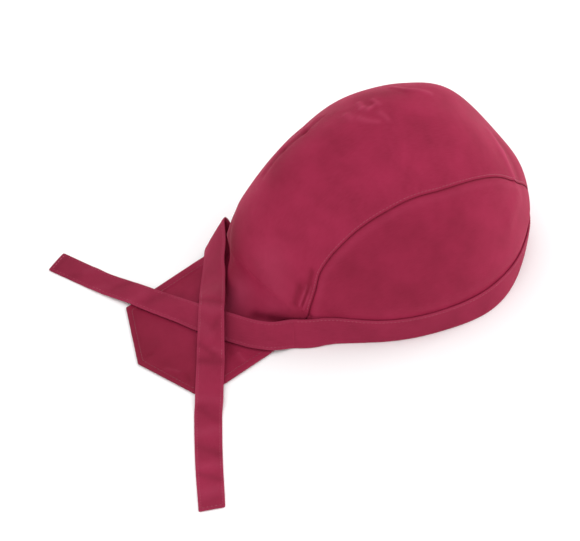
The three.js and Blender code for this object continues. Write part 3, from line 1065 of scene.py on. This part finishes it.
@dataclass
class SidePanel:
    """A side panel: from behind the band up to the arch seam and a little way under it."""

    side: Side
    shape: CapShape = SHAPE
    cloth: float = 0.65  # thickness
    along: int = 200
    across: int = 72
    flat_size: Pair = (0.107, 0.26)
    flat_area: float = 0.0198
    start_station: float = 88.0
    end_station: float = -80.5
    tuck: float = 8.0  # height behind the band
    tuck_at: float = 0.08  # shares of the way up where the tuck ends and the lap starts
    lap_at: float = 0.92
    lap: float = 4.5  # degrees that the panel goes on under the middle panel
    lap_most: float = 0.8  # most of the middle panel's half width that the lap takes
    lap_depth: float = 0.95  # how far the lap dips, and the stretch below the seam that takes it there
    dip_from: float = 1.7
    dip_run: float = 1.9
    seam_lowest: float = 0.15  # least latitude of the seam line
    least_height: float = 0.5  # least degrees that are counted from the band to the seam
    seam_wear: EdgeLine = EdgeLine(4.0, 2.0, 0.14)
    seam_tone: EdgeLine = EdgeLine(0.0, 0.9, 0.75)
    # painted shade over the slack middle of the panel, as a share of the deep colour
    painted_slack_shade: float = 0.28
    slack: Pair = (0.34, 0.97)  # shares of the length between which it hangs slack and takes painted shade
    slack_fades: tuple[float, float, float] = (0.16, 0.2, 0.3)  # at the brow, the nape, the edges

    def _seam(self, u: Numbers) -> tuple[Numbers, Numbers]:
        """Station and spread of the seam line at each place along the panel."""
        station = self.start_station + (self.end_station - self.start_station) * u
        return station, self.shape.arch_spread(station)

    def _seam_end(self, station: float) -> float:
        """Bearing of the seam line at a station, in degrees."""
        return math.degrees(math.atan2(float(self.shape.arch_spread(np.array(station))), station))

    def base(self, u: Numbers, v: Numbers) -> Numbers:
        """Point of the panel's outer face."""
        shape, side = self.shape, self.side.value
        station, arch = self._seam(u)
        seam_bearing = np.degrees(np.arctan2(arch, station))
        seam_latitude = np.maximum(90 - np.hypot(station, arch), self.seam_lowest)
        brow, nape = self._seam_end(shape.brow_station), self._seam_end(self.end_station)
        whole = (shape.brow_station - station) / (shape.brow_station - self.end_station)
        foot = brow + (nape - brow) * whole
        up = np.clip((v - self.tuck_at) / (self.lap_at - self.tuck_at), 0, 1)
        bearing = np.radians(foot + (seam_bearing - foot) * up)
        from_pole = 90 - seam_latitude * up
        shown = shape.crown_at(from_pole * np.cos(bearing), side * from_pole * np.sin(bearing))
        under = np.clip((v - self.lap_at) / (1 - self.lap_at), 0, 1)
        under = under * np.minimum(self.lap, self.lap_most * arch)
        lapped = shape.crown_at(station, side * (arch - under))
        hidden = shape.behind_band(side * foot, self.tuck * (1 - v / self.tuck_at), shape.band_cloth)
        point = np.where((v > self.lap_at)[..., None], lapped, shown)
        return np.where((v < self.tuck_at)[..., None], hidden, point)

    def _to_seam(self, u: Numbers, v: Numbers) -> Numbers:
        """Distance below the seam line in millimetres, less than 0 under the middle panel."""
        station, arch = self._seam(u)
        height = np.maximum(90 - np.hypot(station, arch), self.least_height) * self.shape.degree
        lap = np.minimum(self.lap, self.lap_most * arch) * self.shape.degree
        below = (self.lap_at - v) / (self.lap_at - self.tuck_at) * height
        return np.where(v > self.lap_at, -(v - self.lap_at) / (1 - self.lap_at) * lap, below)

    def relief(self, u: Numbers, v: Numbers) -> Numbers:
        """How far the panel dips to pass under the middle panel."""
        return -self.lap_depth * ease((self.dip_from - self._to_seam(u, v)) / self.dip_run)

    def wear_and_light(self, u: Numbers, v: Numbers) -> Numbers:
        """A trace of rubbing where the panel swells beside the seam."""
        return self.seam_wear.at(self._to_seam(u, v))

    def shade(self, u: Numbers, v: Numbers) -> Numbers:
        """Darker cloth down in the seam, and painted shade over the slack middle of the panel."""
        start, stop = self.slack
        brow, nape, edge = self.slack_fades
        # painted shade over the slack middle
        slack = ease((u - start) / brow) * ease((stop - u) / nape) * ease(v / edge) * ease((1 - v) / edge)
        return self.seam_tone.at(self._to_seam(u, v)) + self.painted_slack_shade * slack

    def build(self, wardrobe: Wardrobe) -> Piece:
        right = self.side is Side.RIGHT

        def facing(surface: Surface) -> Surface:
            """The same surface with its outward side the same on both sides of the cap."""
            return lambda u, v: surface(u, 1 - v if right else v)

        name = f"side_panel_{self.side.name.lower()}"
        piece = Cloth(
            f"{name}_cloth",
            raised(facing(self.base), facing(self.relief)),
            self.along,
            self.across,
            self.cloth,
            wear_and_light=facing(self.wear_and_light),
            shade=facing(self.shade),
        ).build()
        wardrobe.dress(piece, wardrobe.panel)
        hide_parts(name)
        return piece


# ---------------------------------------------------------------- the straps
TIE_COLUMNS = ("run", "x", "y", "z", "heading", "climb", "length")
TIE_WIDTH = 19.2  # width of both ties where they lie flat
LET_IN = 2.5  # degrees of the band that a tie's start is let into


@dataclass
class Headband:
    """The folded band round the brow and sides, edge stitched to the panels."""

    shape: CapShape = SHAPE
    along: int = 190
    across: int = 9
    flat_size: Pair = (0.021, 0.47)
    stitch_in: float = 1.6  # from the top edge to the stitches
    sewn_from: float = 0.004  # shares of the length without stitches at either end
    stitch_points: int = 500
    fold_swell: float = 0.25
    groove: EdgeLine = EdgeLine(0.08, 0.04, -0.12)  # lines in shares of the band's width
    top_wear: EdgeLine = EdgeLine(0.0, 0.06, 0.25)
    rim_wear: EdgeLine = EdgeLine(0.0, 0.07, 0.35)

    def base(self, u: Numbers, v: Numbers) -> Numbers:
        """Point of the band's outer face."""
        return self.shape.band(self.shape.joint_bearing * (2 * u - 1), v)

    def relief(self, u: Numbers, v: Numbers) -> Numbers:
        """The fold swells a little between the stitched edge and the rim."""
        return self.fold_swell * np.sin(math.pi * np.clip(v, 0, 1)) + self.groove.at(1 - v)

    def wear_and_light(self, u: Numbers, v: Numbers) -> Numbers:
        """Rubbed rim, and a little rubbing along the top edge."""
        return self.rim_wear.at(v) + self.top_wear.at(1 - v)

    def build(self, wardrobe: Wardrobe) -> Piece:
        surface = raised(self.base, self.relief)
        piece = Cloth(
            "headband_cloth",
            surface,
            self.along,
            self.across,
            self.shape.band_cloth,
            smoothing=2,
            wear_and_light=self.wear_and_light,
        ).build()
        wardrobe.dress(piece, wardrobe.strap)
        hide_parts("headband")
        u = np.linspace(self.sewn_from, 1 - self.sewn_from, self.stitch_points)
        v = np.full_like(u, 1 - self.stitch_in / self.shape.band_width)
        lines = [line_on(surface, u, v)]
        sewn = wardrobe.sew("headband_stitching", lines, wardrobe.thread, "strap_cloth")
        return piece


@dataclass
class Tie:
    """A folded tie that carries on from an end of the band, stitched down both edges."""

    side: Side
    lines: Table
    flat_size: Pair
    shape: CapShape = SHAPE
    width: float = TIE_WIDTH
    cloth: float = 1.4  # thickness
    across: int = 8
    spacing: float = 2.2  # length of a face along the tie
    fold_swell: float = 0.16  # height of the folded middle, and how far it takes to rise
    swell_run: float = 4.0
    stitches: EdgeLine = EdgeLine(2.0, 0.7, -0.14)
    stitch_sink: float = 0.05  # how deep the stitches sink into the cloth
    stitch_points: tuple[int, int] = (400, 20)  # along the tie and across its free end
    sewn_from: float = 0.01  # share of the length before the first stitch
    end_stitch_in: float = 2.2
    edge_wear: EdgeLine = EdgeLine(0.0, 1.3, 0.32)
    end_wear: EdgeLine = EdgeLine(0.0, 2.0, 0.25)
    folds: tuple[Fold, ...] = ()
    # painted highlight on the ridges, for a millimetre of fold
    painted_fold_shading: float = 0.4
    # painted shade in the furrows, for a millimetre of fold
    painted_furrow_shade: float = 0.8
    end_tone: float = 0.0

    @property
    def run(self) -> float:
        """Length of the tie down its middle, in millimetres."""
        return float(self.lines.rows[-1][0])

    def base(self, u: Numbers, v: Numbers) -> Numbers:
        """Point of the middle of the tie's cloth."""
        place = u * self.run
        v = v if self.side is Side.LEFT else 1 - v
        length = self.lines.at("length", place) * v
        line = direction(self.lines.at("heading", place), self.lines.at("climb", place))
        start = np.stack([self.lines.at(axis, place) for axis in ("x", "y", "z")], -1)
        return start + line * length[..., None]

    def _edge(self, v: Numbers) -> Numbers:
        """Distance to the nearer long edge, in millimetres."""
        return np.minimum(v, 1 - v) * self.width

    def relief(self, u: Numbers, v: Numbers) -> Numbers:
        """The stitching draws both edges flat, and the fold swells between them."""
        edge = self._edge(v)
        swell = self.fold_swell * ease((edge - self.stitches.inset) / self.swell_run)
        swell = swell + self.stitches.at(edge)
        room = self.lines.at("z", u * self.run) - self.cloth / 2
        return swell + np.maximum(self._folded(u, v), -np.maximum(room, 0))

    def _folded(self, u: Numbers, v: Numbers) -> Numbers:
        """Height of all the tie's folds together."""
        return folded(self.folds, u * self.run, (v - 0.5) * self.width)

    def wear_and_light(self, u: Numbers, v: Numbers) -> Numbers:
        """Rubbed edges, a rubbed end, and painted highlight on the ridges."""
        rubbed = self.edge_wear.at(self._edge(v)) + self.end_wear.at((1 - u) * self.run)
        # painted highlight on the ridges
        return rubbed + self.painted_fold_shading * np.maximum(self._folded(u, v), 0)

    def shade(self, u: Numbers, v: Numbers) -> Numbers:
        """Painted shade down in the furrows, and a deeper tone towards the free end."""
        # painted shade in the furrows, and the end's deeper tone
        return self.painted_furrow_shade * np.maximum(-self._folded(u, v), 0) + self.end_tone * ease(2 * u - 1)

    def build(self, wardrobe: Wardrobe) -> Piece:
        surface = raised(self.base, self.relief)
        name = f"tie_{self.side.name.lower()}"
        piece = Cloth(
            f"{name}_cloth",
            surface,
            int(self.flat_size[1] / MM / self.spacing),
            self.across,
            self.cloth,
            offset=0.0,
            smoothing=2,
            wear_and_light=self.wear_and_light,
            shade=self.shade,
        ).build()
        wardrobe.dress(piece, wardrobe.strap)
        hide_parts(name)
        lift = raised(surface, lambda u, v: np.full_like(u, self.cloth / 2 - self.stitch_sink))
        inset = self.stitches.inset / self.width
        end = 1 - self.end_stitch_in / (self.flat_size[1] / MM)
        u = np.linspace(self.sewn_from, end, self.stitch_points[0])
        lines = [line_on(lift, u, v) for v in (inset, 1 - inset)]
        v = np.linspace(inset, 1 - inset, self.stitch_points[1])
        lines.append(line_on(lift, end, v))
        sewn = wardrobe.sew(f"{name}_stitching", lines, wardrobe.thread, "strap_cloth")
        return piece


def band_line(side: Side, bearing: float) -> tuple[float, ...]:
    """Cross line of the band at a bearing, halfway through its cloth, as a row of a tie's table."""
    sign = side.value
    low, high = (SHAPE.band(np.array(sign * bearing), np.array(up)) for up in (0.0, 1.0))
    ahead = SHAPE.band(np.array(sign * (bearing - 1.0)), np.array(0.5))
    climb = high - low
    inward = unit(np.cross(climb, ahead - (low + high) / 2)) * sign
    low = low - inward * SHAPE.band_cloth / 2
    length = float(np.linalg.norm(climb))
    heading = math.degrees(math.atan2(climb[1], climb[0]))
    return (*low, heading, math.degrees(math.asin(climb[2] / length)), length)


def joined(side: Side, rows: tuple[tuple[float, ...], ...]) -> Table:
    """Table of a tie's cross lines by their run along it, its start let into the end of the band.

    Args:
        side: The side of the cap that the tie is sewn to.
        rows: The tie's cross lines behind the band. A row without a length has the tie's width.

    Returns:
        The table that Tie reads.
    """
    joint = SHAPE.joint_bearing
    whole = [(*row, TIE_WIDTH)[: len(TIE_COLUMNS) - 1] for row in rows]
    lines = np.array([band_line(side, joint - LET_IN), band_line(side, joint), *whole])
    middles = lines[:, :3] + direction(lines[:, 3], lines[:, 4]) * lines[:, 5:] / 2
    steps = np.linalg.norm(np.diff(middles, axis=0), axis=1)
    run = np.concatenate([[0.0], np.cumsum(steps)])
    return Table(TIE_COLUMNS, tuple(map(tuple, np.column_stack([run, lines]))))


# Cross lines of the ties, from the lower edge up: the lower edge's place, the plan heading of
# the line across, how steeply that line climbs, and its length.
RIGHT_TIE = joined(
    Side.RIGHT,
    (
        (-102.9, -54.6, 3.1, 64, 46),
        (-114.1, -46.8, 2.4, 51, 42),
        (-122.8, -38.4, 2.3, 44, 37),
        (-132.7, -27.4, 2.3, 40.5, 30),
        (-141.6, -17.4, 2.3, 38, 22),
        (-152, -2.8, 2.3, 36.5, 13),
        (-162.8, 10.8, 2.3, 36.3, 8),
        (-176.3, 28.7, 2.3, 35.4, 3),
        (-187.8, 44.2, 0.9, 34, 1),
        (-196.3, 57, 0.7, 34.4, 0),
        (-209.6, 76.9, 0.7, 35.5, 0),
    ),
)
RIGHT_FOLDS = (
    Fold((104, -9), (112, 3), 3, -0.3),
    Fold((117, -3), (123, 9), 3, 0.4),
    Fold((131, -8), (138, 1), 2.6, -0.25),
    Fold((143, 4), (150, 9), 3, 0.5),
    Fold((158, -9), (163, -2), 2.6, 0.4),
    Fold((166, 3), (172, 9), 2.6, -0.3),
    Fold((182.5, -9), (182.5, 9), 0.8, -0.25),
)
LEFT_TIE = joined(
    Side.LEFT,
    (
        (-99, 56.5, 1.5, -40, 54, 23),
        (-105.6, 53, 2.8, 4, 57.5, 27.8),
        (-109.4, 46.8, 3.6, 1, 56, 26.6),
        (-114.8, 36, 3.2, -33, 46, 21),
        (-121.2, 24.3, 3, -28.6, 37, 20.6),
        (-125.5, 15.9, 4.6, -24, 31, 19.8),
        (-131.2, 3.6, 9.7, -25.7, 24),
        (-136.4, -7.3, 9.3, -27, 23),
        (-141.5, -18.6, 6.8, -27, 22),
        (-147.4, -31, 4.4, -22, 15),
        (-154.7, -47.3, 2.7, -22.4, 6),
        (-162.6, -64.4, 2.4, -21, 1.5),
        (-169, -79, 2.4, -21, 0),
        (-174.6, -91, 0.9, -20.5, 0, 19),
        (-191.8, -134, 0.7, -20.5, 0, 18.8),
        (-207.2, -176.6, 0.7, -8, 0, 18.6),
    ),
)
LEFT_FOLDS = (
    Fold((82, -9), (90, 9), 2, -0.5),
    Fold((92, -4), (97, 6), 4, 0.6),
    Fold((99, 7), (107, 3), 2.8, -0.4),
    Fold((104, -7), (114, -1), 4, 0.5),
    Fold((119, -8), (130, 3), 2.2, -0.5),
    Fold((125, 2), (129, 8), 2, 0.6),
    Fold((134, -7), (136, 7), 3.6, -0.45),
    Fold((170, -7), (171, 7), 4, 0.4),
    Fold((177, -7), (189, 6), 3.4, -0.4),
    Fold((201, -5), (199, 5), 5, 0.6),
    Fold((214, -8), (221, 8), 3.2, -0.45),
    Fold((234, -5), (232, 6), 3.6, 0.5),
    Fold((240, -7), (246, 7), 3.2, -0.45),
    Fold((259, -4), (257, 5), 5, 0.6),
    Fold((271.5, -9), (271.5, 9), 0.9, -0.4),
)


# ---------------------------------------------------------------- table, light and camera
@dataclass(frozen=True)
class Lamp:
    """One soft square light, turned towards the cap, in metres and watts."""

    name: str
    place: tuple[float, float, float]
    size: float
    power: float

    def hang(self) -> None:
        """Adds the light to the scene."""
        data = bpy.data.lights.new(self.name, "AREA")
        data.shape = "SQUARE"
        data.size = self.size
        data.energy = self.power
        lamp = placed(self.name, data)
        lamp.location = self.place
        lamp.rotation_euler = Vector(self.place).to_track_quat("Z", "Y").to_euler()


@dataclass
class Studio:
    """A white table, soft overhead light and a level, undistorted camera."""

    table_side: float = 6.0  # in metres
    azimuth: float = 22.73  # the camera stands to the wearer's right of the nape line
    elevation: float = 43.87
    view_width: float = 386.666667  # millimetres of the cap that fill the picture's width
    aim_right: float = -61.85  # the picture's middle, from the cap's own origin
    aim_up: float = -6.87
    camera_distance: float = 1400.0
    clip_end: float = 20.0  # in metres
    ambient: float = 1.17
    lamps: tuple[Lamp, ...] = (
        Lamp("key", (1.45, 0.05, 0.68), 0.9, 7.3),
        Lamp("fill", (-1.0, -1.0, 0.7), 1.4, 1.6),
    )

    def build(self) -> None:
        """Makes the table, the camera and the lights."""
        self._table()
        self._camera()
        for lamp in self.lamps:
            lamp.hang()
        world = bpy.data.worlds.new("soft room")
        bpy.context.scene.world = world
        world.use_nodes = True
        background = world.node_tree.nodes["Background"]
        background.inputs["Color"].default_value = linear("ffffff")
        background.inputs["Strength"].default_value = self.ambient
        settings = bpy.context.scene.view_settings
        settings.view_transform = "Standard"
        settings.look = "None"

    def _table(self) -> None:
        """Makes the table top at z = 0."""
        board = bmesh.new()
        bmesh.ops.create_grid(board, x_segments=1, y_segments=1, size=self.table_side / 2)
        table = placed("white_table", mesh_of("white_table", board))
        table.data.materials.append(PaintedTable().build())

    def _camera(self) -> None:
        """Sets a parallel camera at the view's azimuth and elevation."""
        az, el = math.radians(self.azimuth), math.radians(self.elevation)
        right = Vector((math.cos(az), -math.sin(az), 0))
        up = Vector((math.sin(az) * math.sin(el), math.cos(az) * math.sin(el), math.cos(el)))
        back = right.cross(up)
        middle = Vector(CAP_ORIGIN) + right * self.aim_right + up * self.aim_up
        data = bpy.data.cameras.new("view")
        data.type = "ORTHO"
        data.ortho_scale = self.view_width * MM
        data.clip_end = self.clip_end
        camera = placed("view", data)
        turn = Matrix((right, up, back)).transposed().to_4x4()
        camera.matrix_world = Matrix.Translation((middle + back * self.camera_distance) * MM) @ turn
        bpy.context.scene.camera = camera


# ---------------------------------------------------------------- the whole cap
def main() -> None:
    """Builds the studio and the cap's pieces in order."""
    logging.basicConfig(level=logging.INFO, format="%(message)s")
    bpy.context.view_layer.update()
    Studio().build()
    wardrobe = Wardrobe()
    pieces = [
        Headband().build(wardrobe),
        MiddlePanel().build(wardrobe),
        SidePanel(Side.RIGHT).build(wardrobe),
        SidePanel(Side.LEFT).build(wardrobe),
        Tie(Side.RIGHT, RIGHT_TIE, (0.0193, 0.187), folds=RIGHT_FOLDS, end_tone=0.4).build(wardrobe),
        Tie(Side.LEFT, LEFT_TIE, (0.0193, 0.276), folds=LEFT_FOLDS).build(wardrobe),
    ]
    log.info("made %d pieces of cloth", len(pieces))


if __name__ == "__main__":
    main()
